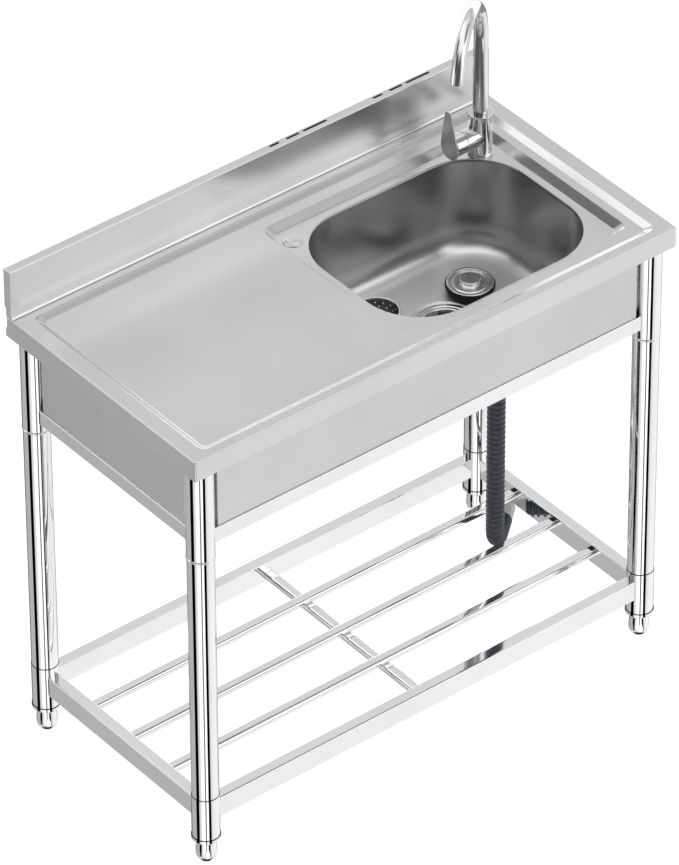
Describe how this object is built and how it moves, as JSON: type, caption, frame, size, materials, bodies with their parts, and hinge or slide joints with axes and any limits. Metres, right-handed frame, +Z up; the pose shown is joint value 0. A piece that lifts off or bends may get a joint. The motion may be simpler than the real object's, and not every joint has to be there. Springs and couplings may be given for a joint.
{
  "type": "kitchen sink unit",
  "caption": "Free-standing steel sink unit: pressed worktop with drainboard, drawn bowl, swivel faucet, slotted backsplash and round legs with a bar shelf.",
  "frame": {"origin": "on the floor, under the centre of the worktop", "axes": "+X along the worktop towards the bowl side, +Y back to the backsplash, +Z up"},
  "size_m": [1, 0.5, 1.1896],
  "materials": {
    "worktop_steel": "fine satin sheet",
    "bowl_steel": "satin drawn sheet",
    "polished_steel": "bright polished tube",
    "faucet_metal": "satin nickel",
    "dark_plastic": "ribbed extruded plastic",
    "white_plastic": "moulded plastic",
    "black_rubber": "moulded rubber"
  },
  "bodies": {
    "frame": {"worktop": "worktop_steel", "backsplash": "worktop_steel", "apron_front": "worktop_steel", "apron_rear": "worktop_steel", "apron_left": "worktop_steel", "apron_right": "worktop_steel", "drain_flange": "worktop_steel", "bowl": "bowl_steel", "upper_rail_front": "polished_steel", "upper_rail_rear": "polished_steel", "upper_rail_left": "polished_steel", "upper_rail_right": "polished_steel", "shelf_rail_front": "polished_steel", "shelf_rail_rear": "polished_steel", "shelf_rail_left": "polished_steel", "shelf_rail_right": "polished_steel", "leg_socket_fl": "polished_steel", "leg_socket_fr": "polished_steel", "leg_socket_rl": "polished_steel", "leg_socket_rr": "polished_steel", "leg_tube_fl": "polished_steel", "leg_tube_fr": "polished_steel", "leg_tube_rl": "polished_steel", "leg_tube_rr": "polished_steel", "leg_sleeve_fl": "polished_steel", "leg_sleeve_fr": "polished_steel", "leg_sleeve_rl": "polished_steel", "leg_sleeve_rr": "polished_steel", "leg_collar_fl": "polished_steel", "leg_collar_fr": "polished_steel", "leg_collar_rl": "polished_steel", "leg_collar_rr": "polished_steel", "shelf_bar_front": "polished_steel", "shelf_bar_middle": "polished_steel", "shelf_bar_rear": "polished_steel", "shelf_cross_bar": "polished_steel", "hole_cap": "polished_steel", "faucet_body": "faucet_metal", "faucet_nut": "faucet_metal", "drain_hose": "dark_plastic", "hole_cap_nut": "dark_plastic", "drain_nut": "white_plastic", "drain_body": "white_plastic", "hose_nut": "white_plastic", "hose_cuff": "white_plastic", "drain_gasket": "black_rubber", "faucet_gasket": "black_rubber"},
    "spout": {"faucet_spout": "faucet_metal", "aerator": "faucet_metal"},
    "lever_hub": {"lever_hub": "faucet_metal", "lever_pin": "polished_steel"},
    "lever": {"lever_blade": "faucet_metal"},
    "foot_fl": {"foot_fl": "polished_steel"},
    "foot_fr": {"foot_fr": "polished_steel"},
    "foot_rl": {"foot_rl": "polished_steel"},
    "foot_rr": {"foot_rr": "polished_steel"},
    "stopper": {"stopper_plate": "polished_steel", "stopper_seal": "black_rubber"},
    "basket": {"strainer_basket": "worktop_steel"}
  },
  "joints": [
    {"name": "spout_swivel", "type": "hinge", "parent": "frame", "child": "spout", "pos_m": [0.39998, 0.13498, 0.921], "axis": [0, 0, 1], "range_deg": [-80, 80]},
    {"name": "lever_turn", "type": "hinge", "parent": "frame", "child": "lever_hub", "pos_m": [0.36, 0.13498, 0.8755], "axis": [1, 0, 0], "range_deg": [-45, 45]},
    {"name": "lever_lift", "type": "hinge", "parent": "lever_hub", "child": "lever", "pos_m": [0.34069, 0.13498, 0.8607], "axis": [0, -1, 0], "range_deg": [0, 20]},
    {"name": "foot_fl_height", "type": "slide", "parent": "frame", "child": "foot_fl", "axis": [0, 0, -1], "range_m": [0, 0.025]},
    {"name": "foot_fr_height", "type": "slide", "parent": "frame", "child": "foot_fr", "axis": [0, 0, -1], "range_m": [0, 0.025]},
    {"name": "foot_rl_height", "type": "slide", "parent": "frame", "child": "foot_rl", "axis": [0, 0, -1], "range_m": [0, 0.025]},
    {"name": "foot_rr_height", "type": "slide", "parent": "frame", "child": "foot_rr", "axis": [0, 0, -1], "range_m": [0, 0.025]},
    {"name": "stopper_lift", "type": "slide", "parent": "frame", "child": "stopper", "axis": [0, 0, 1], "range_m": [0, 0.25]},
    {"name": "basket_lift", "type": "slide", "parent": "frame", "child": "basket", "axis": [0, 0, 1], "range_m": [0, 0.25]}
  ]
}
